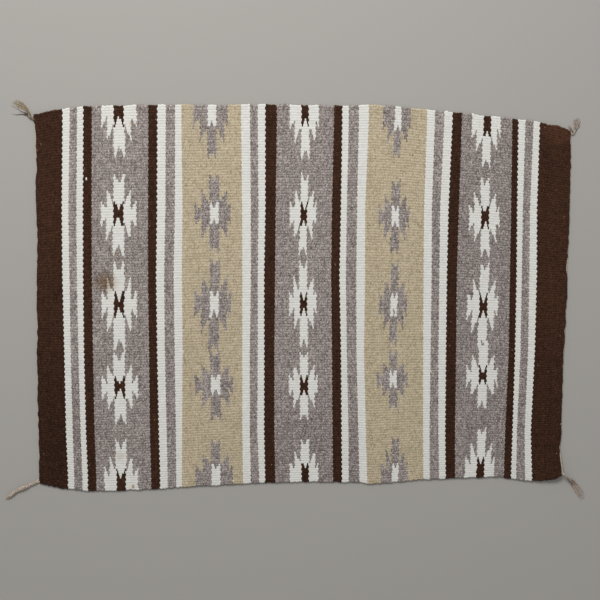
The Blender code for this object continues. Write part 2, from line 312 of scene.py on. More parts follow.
CORNERS = {
    "tassel_top_left": CornerLayout(
        corner=(-434.7, 294.0),
        hues=(CordHue.TAUPE, CordHue.TAN, CordHue.TAUPE),
        cord=(
            (-0.5, -3.6, 4.2, 1.4),
            (-1.9, -4.2, 4.2, 1.6),
            (-4.0, -3.6, 3.8, 1.9),
            (-6.6, -2.0, 3.2, 2.1),
        ),
        knot=(-8.6, -0.4, 2.9, 2.8),
        loops=(((-3.4, -1.6, 4.4, 0.6), (-2.7, 0.6, 4.9, 0.8), (-1.4, 2.0, 4.4, 0.6)),),
        locks=(
            Lock(
                CordHue.TAN,
                230,
                (
                    (-8.6, 1.0, 1.5),
                    (-10.9, 6.8, 1.7),
                    (-15.0, 12.0, 2.8),
                    (-22.0, 17.0, 5.2),
                    (-29.5, 20.6, 6.4),
                    (-39.0, 23.0, 7.4),
                ),
            ),
            Lock(
                CordHue.TAUPE,
                14,
                (
                    (-9.0, 1.0, 0.8),
                    (-14.1, 4.9, 0.7),
                    (-22.2, 8.1, 0.6),
                    (-28.7, 11.7, 0.5),
                    (-43.0, 19.2, 0.8),
                ),
            ),
            Lock(
                CordHue.ROSE,
                16,
                ((-9.0, 0.8, 0.8), (-14.5, 3.8, 1.0), (-20.5, 6.5, 1.3), (-29.0, 8.0, 2.0)),
            ),
            Lock(
                CordHue.TAUPE,
                40,
                (
                    (-8.8, 0.3, 1.3),
                    (-12.0, 2.0, 1.3),
                    (-16.5, 2.7, 1.0),
                    (-24.6, 3.3, 0.6),
                    (-32.7, 2.6, 0.7),
                    (-42.0, 4.4, 2.0),
                ),
            ),
        ),
    ),
    "tassel_top_right": CornerLayout(
        corner=(433.1, 265.5),
        hues=(CordHue.CREAM, CordHue.SAND, CordHue.CREAM),
        cord=(
            (-7.2, 7.6, 1.9, 1.1),
            (-3.0, 4.8, 1.9, 1.15),
            (0.8, 2.1, 1.9, 1.2),
            (2.5, -0.9, 2.0, 1.25),
            (4.2, -0.5, 2.1, 1.3),
            (5.7, 2.4, 2.2, 1.3),
        ),
        knot=(7.0, 5.0, 2.3, 1.6),
        locks=(
            Lock(
                CordHue.ROSE,
                190,
                (
                    (6.9, 5.0, 1.0),
                    (7.6, 8.0, 2.0),
                    (8.8, 12.5, 4.2),
                    (10.4, 19.0, 6.0),
                    (11.8, 28.0, 7.2),
                ),
            ),
            Lock(
                CordHue.SAND,
                30,
                ((6.9, 5.0, 0.8), (9.5, 7.5, 1.2), (12.8, 11.0, 1.6), (16.8, 15.8, 2.2)),
            ),
            Lock(
                CordHue.TAUPE,
                44,
                ((3.6, 1.2, 0.8), (2.4, 5.2, 1.2), (-0.8, 9.6, 2.2), (-4.6, 15.5, 3.4)),
            ),
        ),
    ),
    "cord_bottom_left": CornerLayout(
        corner=(-427.7, -300.0),
        hues=(CordHue.SAND, CordHue.ROSE, CordHue.SAND),
        cord=(
            (-0.9, 2.5, 1.9, 1.7),
            (-3.6, 1.1, 2.3, 2.2),
            (-9.5, -1.2, 2.4, 2.3),
            (-15.4, -3.7, 2.4, 2.3),
            (-20.5, -6.2, 2.9, 2.8),
            (-25.5, -8.3, 3.1, 3.0),
            (-31.6, -10.7, 3.0, 2.9),
            (-36.0, -13.0, 2.5, 2.4),
            (-40.5, -15.6, 2.8, 2.7),
            (-46.0, -19.8, 2.9, 2.8),
            (-50.3, -23.2, 2.4, 2.3),
            (-53.0, -25.4, 1.3, 1.2),
        ),
        loops=(((0.4, 6.2, 2.4, 0.5), (-2.6, 4.6, 2.6, 0.6), (-6.4, 1.2, 3.6, 0.6)),),
        locks=(
            Lock(CordHue.SAND, 34, ((-47.5, -21.0, 1.6), (-52.0, -25.0, 1.5), (-57.5, -28.6, 1.8))),
        ),
    ),
    "tassel_bottom_right": CornerLayout(
        corner=(419.0, -286.4),
        hues=(CordHue.ROSE, CordHue.TAUPE, CordHue.SAND),
        cord=(
            (0.7, 1.6, 8.5, 1.2),
            (3.4, 0.4, 8.2, 1.4),
            (6.3, -3.0, 7.2, 1.6),
            (9.6, -6.4, 5.8, 1.7),
        ),
        knot=(12.2, -9.2, 4.4, 2.0),
        loops=(
            ((-0.6, 2.6, 9.6, 0.8), (1.6, 1.2, 10.2, 1.1), (4.2, -0.8, 9.2, 0.9)),
            ((1.4, 6.8, 8.2, 0.3), (1.6, 4.0, 9.0, 0.35), (4.6, 0.8, 9.2, 0.3)),
        ),
        locks=(
            Lock(
                CordHue.TAN,
                40,
                (
                    (12.2, -9.2, 1.2),
                    (14.3, -13.5, 1.2),
                    (17.3, -19.0, 1.0),
                    (21.5, -27.1, 1.0),
                    (26.0, -33.5, 1.5),
                    (31.6, -45.5, 2.2),
                ),
            ),
            Lock(
                CordHue.ROSE,
                110,
                (
                    (12.2, -9.2, 1.4),
                    (17.0, -13.6, 2.5),
                    (20.5, -18.0, 3.6),
                    (24.8, -24.0, 4.6),
                    (30.0, -31.5, 5.4),
                    (36.5, -43.0, 6.2),
                ),
            ),
            Lock(
                CordHue.CREAM,
                60,
                (
                    (12.2, -9.2, 1.2),
                    (18.5, -14.4, 2.6),
                    (25.6, -23.4, 4.4),
                    (37.5, -41.5, 6.0),
                ),
            ),
            Lock(
                CordHue.CREAM,
                34,
                (
                    (12.2, -9.2, 1.0),
                    (16.2, -9.4, 1.0),
                    (22.3, -12.8, 1.1),
                    (28.0, -18.8, 1.0),
                    (33.5, -25.5, 1.3),
                ),
            ),
            Lock(
                CordHue.TAUPE,
                14,
                (
                    (12.2, -9.2, 1.0),
                    (18.0, -11.8, 0.8),
                    (26.0, -19.5, 0.8),
                    (33.0, -27.0, 0.8),
                    (40.0, -35.5, 1.0),
                ),
            ),
        ),
    ),
}

# Where the plied end cords peep out from under the ends: y, how far the cord's middle lies
# outside the left end, the same at the right end
END_CORDS = (
    (-296.0, 0.5, 0.9),
    (-270.0, 0.1, 1.0),
    (-235.0, -0.6, 0.3),
    (-200.0, 0.3, 0.9),
    (-160.0, -0.4, 0.0),
    (-110.0, 0.2, 0.4),
    (-60.0, -0.5, 0.6),
    (-10.0, -0.2, 0.1),
    (50.0, -0.5, 0.0),
    (110.0, -0.7, 0.2),
    (170.0, -0.5, 0.3),
    (215.0, 0.3, 0.1),
    (250.0, 1.0, 0.3),
    (275.0, 1.1, 0.5),
    (290.0, 0.6, 0.5),
)


def to_linear(colour: str) -> tuple[float, float, float, float]:
    """A linear RGBA colour from an sRGB hex value.

    Args:
        colour: six hex digits after a hash sign.

    Returns:
        The colour with full alpha.
    """
    channels = [int(colour[i : i + 2], 16) / 255.0 for i in (1, 3, 5)]
    linear = [c / 12.92 if c <= 0.04045 else ((c + 0.055) / 1.055) ** 2.4 for c in channels]
    return (linear[0], linear[1], linear[2], 1.0)


def add_node(
    tree: bpy.types.NodeTree,
    kind: str,
    settings: dict | None = None,
    inputs: dict | None = None,
) -> bpy.types.Node:
    """A node in the tree, with its settings, and its inputs set or linked.

    Args:
        tree: the node tree.
        kind: the node's Blender type name.
        settings: property names and their values.
        inputs: input names or numbers, each with a value or the output to link from.

    Returns:
        The new node.
    """
    node = tree.nodes.new(kind)
    for name, value in (settings or {}).items():
        setattr(node, name, value)
    for name, value in (inputs or {}).items():
        if isinstance(value, bpy.types.NodeSocket):
            tree.links.new(value, node.inputs[name])
        else:
            node.inputs[name].default_value = value
    return node


@dataclass(frozen=True)
class SpunWool:
    """Hand-spun sheep's wool, packed down in the weave.

    Carded wool has no gloss, so its roughness is high. Its scales and stray fibres give a soft
    sheen at the edges, and the gaps between beads get dust and painted shade in their colour.
    """

    name: str
    base: str
    dark: str
    light: str
    contrast: float
    nub: str
    fleck_across: float = 1.5
    fleck_along: float = 1.3
    crevice_shade: float = 0.35
    roughness: float = 0.93
    sheen: float = 0.1
    specular: float = 0.2
    fibre_size: float = 0.35
    fibre_bump: float = 0.00012
    stain: str = "#b89a6c"

    def material(self) -> bpy.types.Material:
        """The yarn's material, from a fleck noise along the weft and three float attributes.

        Returns:
            The material. It reads the attributes tone, crevice and stain of the mesh.
        """
        made = bpy.data.materials.new(self.name)
        made.use_nodes = True
        tree = made.node_tree
        shader = tree.nodes["Principled BSDF"]
        tone = add_node(tree, "ShaderNodeAttribute", {"attribute_name": "tone"}).outputs["Fac"]
        crevice = add_node(tree, "ShaderNodeAttribute", {"attribute_name": "crevice"}).outputs["Fac"]
        stain = add_node(tree, "ShaderNodeAttribute", {"attribute_name": "stain"}).outputs["Fac"]
        place = add_node(tree, "ShaderNodeTexCoord").outputs["Object"]
        # Carded locks of two shades show as flecks as wide as the yarn, longer along the weft.
        scale = (1.0 / (self.fleck_across * MM), 1.0 / (self.fleck_along * MM), 1.0 / (3.0 * MM))
        stretched = add_node(tree, "ShaderNodeMapping", None, {"Vector": place, "Scale": scale})
        fleck = add_node(
            tree,
            "ShaderNodeTexNoise",
            None,
            {"Vector": stretched.outputs["Vector"], "Scale": 1.0, "Detail": 2.0, "Roughness": 0.6},
        )
        centred = add_node(
            tree,
            "ShaderNodeMapRange",
            {"clamp": True},
            {0: fleck.outputs["Fac"], 1: 0.25, 2: 0.75, 3: -0.5, 4: 0.5},
        )
        summed = add_node(
            tree, "ShaderNodeMath", {"operation": "ADD"}, {0: centred.outputs[0], 1: tone}
        )
        share = add_node(
            tree,
            "ShaderNodeMath",
            {"operation": "MULTIPLY_ADD", "use_clamp": True},
            {0: summed.outputs[0], 1: self.contrast, 2: 0.5},
        )
        ramp = add_node(tree, "ShaderNodeValToRGB", None, {"Fac": share.outputs[0]})
        ramp.color_ramp.elements[0].color = to_linear(self.dark)
        ramp.color_ramp.elements[1].color = to_linear(self.light)
        ramp.color_ramp.elements.new(0.5).color = to_linear(self.base)
        # A rare bead shows a pale nub of kemp, marked by a tone far above the others.
        kemp = add_node(tree, "ShaderNodeMath", {"operation": "GREATER_THAN"}, {0: tone, 1: 0.9})
        spun = add_node(
            tree,
            "ShaderNodeMix",
            {"data_type": "RGBA"},
            {0: kemp.outputs[0], 6: ramp.outputs["Color"], 7: to_linear(self.nub)},
        )
        washed = add_node(
            tree,
            "ShaderNodeMix",
            {"data_type": "RGBA", "blend_type": "MULTIPLY"},
            {0: stain, 6: spun.outputs[2], 7: to_linear(self.stain)},
        )
        # Dust and painted shade: the colour darkens by crevice_shade where the crevice attribute is high, in
        # the gaps between beads.
        shade = add_node(
            tree,
            "ShaderNodeMath",
            {"operation": "MULTIPLY_ADD"},
            {0: crevice, 1: -self.crevice_shade, 2: 1.0},
        )
        dust_and_painted_shade = add_node(
            tree,
            "ShaderNodeVectorMath",
            {"operation": "SCALE"},
            {0: washed.outputs[2], 3: shade.outputs[0]},
        )
        fibre_scale = (1.0 / (self.fibre_size * MM), 1.0 / (5.0 * self.fibre_size * MM), 700.0)
        fibre_place = add_node(tree, "ShaderNodeMapping", None, {"Vector": place, "Scale": fibre_scale})
        fibre = add_node(
            tree,
            "ShaderNodeTexNoise",
            None,
            {"Vector": fibre_place.outputs["Vector"], "Scale": 1.0, "Detail": 1.0},
        )
        bump = add_node(
            tree,
            "ShaderNodeBump",
            None,
            {"Strength": 0.6, "Distance": self.fibre_bump, "Height": fibre.outputs["Fac"]},
        )
        tree.links.new(dust_and_painted_shade.outputs["Vector"], shader.inputs["Base Color"])
        tree.links.new(bump.outputs["Normal"], shader.inputs["Normal"])
        shader.inputs["Roughness"].default_value = self.roughness
        shader.inputs["IOR"].default_value = 1.54
        shader.inputs["Specular IOR Level"].default_value = self.specular
        shader.inputs["Sheen Weight"].default_value = self.sheen
        shader.inputs["Sheen Roughness"].default_value = 0.6
        return made


# Natural dark fleece, undyed: nearly black-brown, warm where light flecks catch it.
BROWN_WOOL = SpunWool(
    "spun_wool_dark_brown",
    "#3d271b",
    "#20120b",
    "#573828",
    1.1,
    "#8a7160",
    crevice_shade=0.45,
    sheen=0.02,
    specular=0.08,
)
# Natural white fleece, undyed: a neutral off-white, even, with hardly any fleck.
WHITE_WOOL = SpunWool(
    "spun_wool_white", "#d9d8d2", "#c8c5bd", "#e2e1dc", 0.7, "#e2e1dc", crevice_shade=0.17, sheen=0.08
)
# Dark and white fleece carded together: a grey heather with strong salt-and-pepper flecks.
GREY_WOOL = SpunWool("carded_wool_grey", "#968c87", "#5f5451", "#c4bab4", 1.6, "#d8d0ca", crevice_shade=0.42)
# A plant-dyed yarn carded with undyed wool: a straw-coloured heather.
GOLD_WOOL = SpunWool("carded_wool_straw", "#bdaf94", "#8d7b5d", "#d0c4aa", 1.1, "#dcd2bc", crevice_shade=0.28)


@dataclass(frozen=True)
class CordWool:
    """Undyed wool, spun hard and plied into a cord, or frayed back to loose fibre.

    The fibres lie along each strand, so they show as fine lines of light and dark, with
    the soft sheen of clean fleece and no gloss.
    """

    name: str
    base: str
    dark: str
    light: str
    roughness: float = 0.85
    sheen: float = 0.25
    fibre_size: float = 0.5
    fibre_bump: float = 0.00015

    def material(self) -> bpy.types.Material:
        """The hue's material, mottled as fine as the fibres by a small noise.

        Returns:
            The material. It reads the attribute tone of the mesh.
        """
        made = bpy.data.materials.new(self.name)
        made.use_nodes = True
        tree = made.node_tree
        shader = tree.nodes["Principled BSDF"]
        tone = add_node(tree, "ShaderNodeAttribute", {"attribute_name": "tone"}).outputs["Fac"]
        place = add_node(tree, "ShaderNodeTexCoord").outputs["Object"]
        scale = 1.0 / (self.fibre_size * MM)
        noise = add_node(
            tree, "ShaderNodeTexNoise", None, {"Vector": place, "Scale": scale, "Detail": 2.0}
        )
        share = add_node(
            tree,
            "ShaderNodeMath",
            {"operation": "MULTIPLY_ADD", "use_clamp": True},
            {0: noise.outputs["Fac"], 1: 0.9, 2: tone},
        )
        ramp = add_node(tree, "ShaderNodeValToRGB", None, {"Fac": share.outputs[0]})
        ramp.color_ramp.elements[0].color = to_linear(self.dark)
        ramp.color_ramp.elements[1].color = to_linear(self.light)
        ramp.color_ramp.elements.new(0.5).color = to_linear(self.base)
        bump = add_node(
            tree,
            "ShaderNodeBump",
            None,
            {"Strength": 0.6, "Distance": self.fibre_bump, "Height": noise.outputs["Fac"]},
        )
        tree.links.new(ramp.outputs["Color"], shader.inputs["Base Color"])
        tree.links.new(bump.outputs["Normal"], shader.inputs["Normal"])
        shader.inputs["Roughness"].default_value = self.roughness
        shader.inputs["IOR"].default_value = 1.54
        shader.inputs["Specular IOR Level"].default_value = 0.2
        shader.inputs["Sheen Weight"].default_value = self.sheen
        shader.inputs["Sheen Roughness"].default_value = 0.5
        return made


# The hues of the cords as they aged: beige, olive tan, grey-brown, pinkish and cream.
CORD_WOOLS = (
    CordWool("plied_wool_sand", "#b9aa95", "#836f5a", "#d8ccba"),
    CordWool("plied_wool_tan", "#b19d80", "#665138", "#dacdb6"),
    CordWool("plied_wool_taupe", "#85746a", "#4a3d34", "#b5a69a"),
    CordWool("plied_wool_rose", "#b8a59c", "#7a665d", "#d8cac3"),
    CordWool("plied_wool_cream", "#cfc5b4", "#9a8b76", "#e6dfd2"),
)


@dataclass(frozen=True)
class PlainFloor:
    """A smooth matt painted studio floor, pale grey, with nothing on it."""

    name: str = "painted_studio_floor"
    colour: str = "#a09d98"
    roughness: float = 0.85

    def material(self) -> bpy.types.Material:
        """The floor's material, one even matt paint."""
        made = bpy.data.materials.new(self.name)
        made.use_nodes = True
        shader = made.node_tree.nodes["Principled BSDF"]
        shader.inputs["Base Color"].default_value = to_linear(self.colour)
        shader.inputs["Roughness"].default_value = self.roughness
        shader.inputs["Specular IOR Level"].default_value = 0.2
        return made


@dataclass(frozen=True)
class Outline:
    """The uneven plan of the cloth, and the height to which its corners curl."""

    @staticmethod
    def column(table: tuple, at: np.ndarray, column: int) -> np.ndarray:
        """The table's column where its first column is at, straight between rows."""
        rows = np.array(table)
        return np.interp(at, rows[:, 0], rows[:, column])

    def height(self, station: np.ndarray, across: np.ndarray) -> np.ndarray:
        """The y that lies a share across the cloth on a station of the long edges."""
        bottom = self.column(LONG_EDGES, station, 1)
        top = self.column(LONG_EDGES, station, 2)
        return bottom + (top - bottom) * across

    def ends(self, y: np.ndarray) -> tuple[np.ndarray, np.ndarray]:
        """The x of the left and the right end at this y."""
        return self.column(SHORT_ENDS, y, 1), self.column(SHORT_ENDS, y, 2)

    @staticmethod
    def lift(x: np.ndarray, y: np.ndarray) -> np.ndarray:
        """How far the curled corners lift the cloth at this place, in millimetres."""
        total = np.zeros(np.broadcast(x, y).shape)
        for corner_x, corner_y, height, reach in CURLS:
            distance = np.hypot(x - corner_x, y - corner_y)
            total = total + height * np.maximum(0.0, 1.0 - distance / reach) ** 2
        return total

    def corner(self, right: bool, top: bool) -> tuple[float, float]:
        """The plan position of one corner point of the cloth, as the CAD has it.

        Args:
            right: whether it is at the right end.
            top: whether it is on the top edge.

        Returns:
            Its x and y in millimetres.
        """
        row = LONG_EDGES[-1 if right else 0]
        y = row[2 if top else 1]
        left_x, right_x = self.ends(np.array(y))
        return (float(right_x if right else left_x), y)


@dataclass(frozen=True)
class Design:
    """What yarn each bead of the cloth has."""

    def stripe_sides(self, y: np.ndarray) -> np.ndarray:
        """The x of every stripe's right-hand side at each y, but for the last stripe.

        Args:
            y: heights in millimetres, of any shape.

        Returns:
            An array with one more axis, at the end, for the stripes.
        """
        heights = np.array(STRIPE_HEIGHTS)
        sides = [np.interp(y, heights, np.array(row[1:])) for row in STRIPES]
        return np.stack(sides, axis=-1)

    def yarns(self, x: np.ndarray, y: np.ndarray, stripe: np.ndarray) -> np.ndarray:
        """The yarn of every bead.

        Args:
            x: plan positions of the beads' middles in millimetres.
            y: the same, across the ribs.
            stripe: the number of the stripe that each bead belongs to.

        Returns:
            The yarns' numbers.
        """
        of_stripe = np.array([int(row[0]) for row in STRIPES] + [int(LAST_STRIPE)])
        yarns = of_stripe[stripe]
        ground = yarns.copy()
        for shape, centre_x, centre_y, wide, above, below, lean in FIGURES:
            near = (np.abs(y - centre_y) < 85.0) & (np.abs(x - centre_x) < 42.0)
            near &= ground == int(Yarn.GOLD if shape is PALE else Yarn.GREY)
            rise = y[near] - centre_y
            across = (x[near] - centre_x - lean * rise) / wide
            along = rise / np.where(rise > 0.0, above, below)
            yarns[near] = shape.drawn(across, along, yarns[near])
        for speck_x, speck_y, yarn in SPECKS:
            distance = np.hypot(x - speck_x, y - speck_y)
            yarns[np.unravel_index(np.argmin(distance), distance.shape)] = int(yarn)
        return yarns

    @staticmethod
    def spots(table: tuple, x: np.ndarray, y: np.ndarray) -> np.ndarray:
        """The strength of the strongest of the table's soft spots at each place.

        Args:
            table: rows of x, y, reach along X, reach along Y and strength.
            x: plan positions in millimetres.
            y: the same, across the ribs.

        Returns:
            Strengths, 0 away from every spot.
        """
        total = np.zeros(np.broadcast(x, y).shape)
        for centre_x, centre_y, reach_x, reach_y, strength in table:
            spread = ((x - centre_x) / reach_x) ** 2 + ((y - centre_y) / reach_y) ** 2
            total = np.maximum(total, strength * np.exp(-0.5 * (2.0 * spread) ** 1.5))
        return total

    def stains(self, x: np.ndarray, y: np.ndarray) -> np.ndarray:
        """How strongly the wool is stained at each place, from 0 to 1."""
        return self.spots(STAINS, x, y)

    def tone_shift(self, x: np.ndarray, y: np.ndarray) -> np.ndarray:
        """How much lighter or, below 0, darker the cloth is made at each place."""
        return self.spots(LIGHTER_SPOTS, x, y) - self.spots(DARKER_SPOTS, x, y)


@dataclass(frozen=True)
class Weave:
    """The grid of ribs and wefts that the cloth's faces follow."""

    rib_count: int = 146
    pitch_bottom: float = 3.84
    pitch_middle: float = 4.33
    pitch_top: float = 4.44
    weft_pitch: float = 1.16
    tooth: float = 1.0
    small_tooth: float = 0.6
    edge_row: float = 0.14
    edge_column: float = 0.3
    outline: Outline = Outline()
    design: Design = Design()

    def across(self, ribs: np.ndarray) -> np.ndarray:
        """The share across the cloth at which a count of ribs from the bottom lies.

        Args:
            ribs: counts of ribs, whole at a groove and half at a crest.

        Returns:
            Shares from 0 at the bottom edge to 1 at the top edge.
        """
        steps = 2 * self.rib_count
        middles = 2.0 * (np.arange(steps) + 0.5) / steps
        pitches = np.interp(
            middles, (0.0, 1.0, 2.0), (self.pitch_bottom, self.pitch_middle, self.pitch_top)
        )
        places = np.concatenate(([0.0], np.cumsum(pitches)))
        return np.interp(ribs, np.arange(steps + 1) / 2.0, places / places[-1])

    def knots(self, y: np.ndarray) -> np.ndarray:
        """The x of the left end, of each stripe's right side and of the right end, at each y."""
        left, right = self.outline.ends(y)
        sides = self.design.stripe_sides(y)
        return np.concatenate((left[..., None], sides, right[..., None]), axis=-1)

    def stripe_starts(self) -> np.ndarray:
        """The weft count at which each stripe starts, and the whole count last.

        Returns:
            Counts on half numbers inside, because a bead's middle is on a whole number.
        """
        knots = self.knots(np.array(0.0))
        counts = np.maximum(2, np.round(np.diff(knots) / self.weft_pitch))
        counts[-1] += np.sum(counts) % 2
        starts = np.concatenate(([0.0], np.cumsum(counts)))
        starts[1:-1] += 0.5
        return starts

    def plan(self, wefts: np.ndarray, ribs: np.ndarray) -> tuple[np.ndarray, np.ndarray]:
        """The plan position of each weft count and rib count.

        Args:
            wefts: weft counts from the left end, in one row.
            ribs: rib counts from the bottom edge, in one column.

        Returns:
            The x and the y in millimetres, with a row for each rib count. The wefts on both
            sides of a change of stripe are packed closer.
        """
        starts = self.stripe_starts()
        sides = starts[1:-1]
        nearest = sides[np.argmin(np.abs(wefts[:, None] - sides[None, :]), axis=1)]
        beside = np.abs(wefts - nearest) <= 0.5
        stripe = np.searchsorted(starts, nearest)
        of_stripe = np.array([int(row[0]) for row in STRIPES] + [int(LAST_STRIPE)])
        strong = {int(Yarn.BROWN), int(Yarn.WHITE)}
        pairs = [{int(a), int(b)} == strong for a, b in zip(of_stripe, of_stripe[1:])]
        pinch = np.where(np.array(pairs)[stripe - 1], self.tooth, self.small_tooth)
        wefts = np.where(beside, nearest + (wefts - nearest) * pinch, wefts)
        station = np.interp(wefts, starts, self.knots(np.array(0.0)))
        y = self.outline.height(station[None, :], self.across(ribs)[:, None])
        knots = self.knots(y)
        stripe = np.clip(np.searchsorted(starts, wefts, side="right") - 1, 0, len(starts) - 2)
        share = (wefts - starts[stripe]) / (starts[stripe + 1] - starts[stripe])
        low = np.take_along_axis(knots, np.broadcast_to(stripe, y.shape)[..., None], -1)[..., 0]
        high = np.take_along_axis(knots, np.broadcast_to(stripe + 1, y.shape)[..., None], -1)[..., 0]
        return low + (high - low) * share, y

    def stripe_of(self, wefts: np.ndarray) -> np.ndarray:
        """The number of the stripe that each weft belongs to."""
        starts = self.stripe_starts()
        return np.clip(np.searchsorted(starts, wefts, side="right") - 1, 0, len(starts) - 2)


@dataclass
class WovenCloth:
    """The cloth's two faces, bead by bead, in a few closed panels that meet in grooves.

    The lower face has a bead for every second bead of the upper face, because it lies on
    the floor and is seen least.
    """

    weave: Weave = field(default_factory=Weave)
    thickness: float = 4.6
    groove_depth: float = 1.2
    bead_dip: float = 0.4
    bead_bulge: float = 0.35
    bead_unevenness: float = 0.13
    edge_bump: float = 0.5
    edge_share: float = 0.1
    nub_share: float = 0.0006
    seam_gap: float = 0.04
    panels: int = 5
    seed: int = 7
    node: str = "woven_body"
    slot: str = "woven_wool"
    body: str = "root"

    def __post_init__(self) -> None:
        """Work out the counts, the yarns and the random tone of every bead."""
        self.random = np.random.default_rng(self.seed)
        self.weft_count = int(self.weave.stripe_starts()[-1])
        ribs = np.arange(self.weave.rib_count) + 0.5
        wefts = np.arange(self.weft_count + 1).astype(float)
        x, y = self.weave.plan(wefts, ribs)
        stripe = np.broadcast_to(self.weave.stripe_of(wefts), x.shape)
        self.yarns = self.weave.design.yarns(x, y, stripe)
        self.tones = self.bead_tones(x.shape) + self.weave.design.tone_shift(x, y)
        self.rises = self.random.normal(0.0, self.bead_unevenness, x.shape)
        counts = (self.weft_count + 1, self.weft_count + 1, self.weave.rib_count + 1) * 2
        self.bumps = [self.edge_bumps(counts[side]) for side in (0, 1, 2, 5)]

    def bead_tones(self, shape: tuple[int, int]) -> np.ndarray:
        """How much lighter or darker each bead is than its yarn.

        A weft keeps its shade over a stretch, so neighbours along Y are alike. Each bead
        also differs a little by itself, as the flecks of the yarn fall.

        Args:
            shape: the counts of ribs and wefts.

        Returns:
            Tones around 0.
        """
        ribs, wefts = shape
        knots = self.random.normal(0.0, 0.03, (ribs // 24 + 2, wefts))
        places = np.linspace(0.0, len(knots) - 1.001, ribs)
        low = places.astype(int)
        share = (places - low)[:, None]
        slow = knots[low] * (1.0 - share) + knots[low + 1] * share
        return slow + self.random.normal(0.0, 0.07, shape)

    def edge_bumps(self, count: int) -> np.ndarray:
        """How far each weft or rib stands out at the edge, in small and in wider bumps."""
        fine = self.random.normal(0.0, self.edge_bump, count)
        marks = self.random.normal(0.0, 1.3 * self.edge_bump, count // 9 + 2)
        wide = np.interp(np.arange(count) / 9.0, np.arange(len(marks)), marks)
        return 0.6 * (fine + np.roll(fine, 1)) + wide

    def gap_darkening(self, shape: tuple[int, int]) -> np.ndarray:
        """How strongly dust and painted shade darken the gaps between the beads, which changes over a few
        beads.

        Args:
            shape: the counts of a face's rows and columns.

        Returns:
            Shares of the full darkening.
        """
        rows, columns = shape
        marks = self.random.uniform(0.35, 1.15, (rows, columns // 5 + 2))
        places = np.linspace(0.0, marks.shape[1] - 1.001, columns)
        low = places.astype(int)
        share = places - low
        return marks[:, low] * (1.0 - share) + marks[:, low + 1] * share

    @staticmethod
    def columns(last: int, step: int, inset: float) -> np.ndarray:
        """The weft counts of a face's columns, with one more close to each end.

        Args:
            last: the weft count at the right end.
            step: how many wefts lie between two columns.
            inset: how far from each end the added column lies, in wefts.

        Returns:
            The counts in order.
        """
        whole = np.arange(0, last + 1, step).astype(float)
        return np.insert(whole, (1, len(whole) - 1), (inset, last - inset))

    def shown(
        self, table: np.ndarray, ribs: np.ndarray, wefts: np.ndarray, step: int
    ) -> np.ndarray:
        """The table's value for the bead that covers each of a face's quads.

        Args:
            table: values with a row for each rib and a column for each weft.
            ribs: rib counts of the face's rows.
            wefts: weft counts of the face's columns.
            step: how many wefts lie between two columns.

        Returns:
            The values, in one row.
        """
        rib = np.floor((ribs[:-1] + ribs[1:]) / 2.0).astype(int)[:, None]
        interval = np.floor((wefts[:-1] + wefts[1:]) / (2.0 * step)).astype(int)[None, :]
        weft = interval + (interval + rib + 1) % 2
        return table[rib, np.clip(weft * step, 0, self.weft_count)].reshape(-1)

    def relief(self, wefts: np.ndarray, ribs: np.ndarray, step: int) -> tuple[np.ndarray, ...]:
        """How the beads shape one face.

        Args:
            wefts: weft counts of the face's columns.
            ribs: rib counts of the face's rows.
            step: how many wefts lie between two columns.

        Returns:
            The depth below the face's highest level, the shift along Y, and how deep in
            a gap between beads each point lies, from 0 to 1.
        """
        beads = wefts / step
        whole = np.isclose(beads % 1.0, 0.0)[None, :]
        crest = np.isclose(ribs % 1.0, 0.5)[:, None]
        groove = np.isclose(ribs % 1.0, 0.0)[:, None]
        bead = np.round(beads).astype(int)[None, :]
        weft = np.clip(bead * step, 0, self.weft_count)
        rib = np.clip(np.floor(ribs).astype(int), 0, self.weave.rib_count - 1)[:, None]
        below = np.clip(np.floor(ribs - 0.01).astype(int), 0, self.weave.rib_count - 1)[:, None]
        at_middle = (bead + rib) % 2 == 1
        below_middle = (bead + below) % 2 == 1
        dip = np.where(at_middle, -self.rises[rib, weft], self.bead_dip)
        depth = np.where(crest, np.where(whole, dip, 0.0), self.groove_depth)
        shift = np.where(below_middle, self.bead_bulge, -self.bead_bulge) * (groove & whole)
        # Bead ends take part of a gap's dust and painted shade.
        bead_end = np.where(crest & ~at_middle & whole, 0.55, 0.0)
        return depth, shift, np.where(groove, 1.0, bead_end)

    def edge_factor(self, wefts: np.ndarray, ribs: np.ndarray) -> np.ndarray:
        """How much of its thickness the cloth keeps near its edges, which are rounded."""
        from_end = np.minimum(wefts, self.weft_count - wefts) * self.weave.weft_pitch
        from_side = np.minimum(ribs, self.weave.rib_count - ribs) * self.weave.pitch_middle
        radius = 0.5 * self.thickness
        factors = []
        for distance in (from_end, from_side):
            inside = np.clip(1.0 - distance / radius, 0.0, 1.0)
            factors.append(np.sqrt(np.maximum(0.0, 1.0 - inside**2)))
        return np.maximum(self.edge_share, factors[1][:, None] * factors[0][None, :])

    def bumped(
        self, x: np.ndarray, y: np.ndarray, wefts: np.ndarray, ribs: np.ndarray
    ) -> tuple[np.ndarray, np.ndarray]:
        """The plan positions with the small bumps of the edges, where the wefts turn back.

        Args:
            x: plan positions along the ribs, in millimetres.
            y: the same, across the ribs.
            wefts: weft counts of the columns.
            ribs: rib counts of the rows.

        Returns:
            The x and the y, changed over the last two ribs and the last few wefts only.
        """
        last = self.weave.rib_count
        out = x.copy(), y.copy()
        for sign, distance, bumps in (
            (-1.0, ribs, self.bumps[0]),
            (1.0, last - ribs, self.bumps[1]),
        ):
            share = np.clip(1.0 - distance / 2.0, 0.0, 1.0)[:, None]
            out[1][:] += sign * share * np.interp(wefts, np.arange(len(bumps)), bumps)[None, :]
        for sign, distance, bumps in (
            (-1.0, wefts, self.bumps[2]),
            (1.0, self.weft_count - wefts, self.bumps[3]),
        ):
            share = np.clip(1.0 - distance / 6.0, 0.0, 1.0)[None, :]
            out[0][:] += sign * share * np.interp(ribs, np.arange(len(bumps)), bumps)[:, None]
        return out

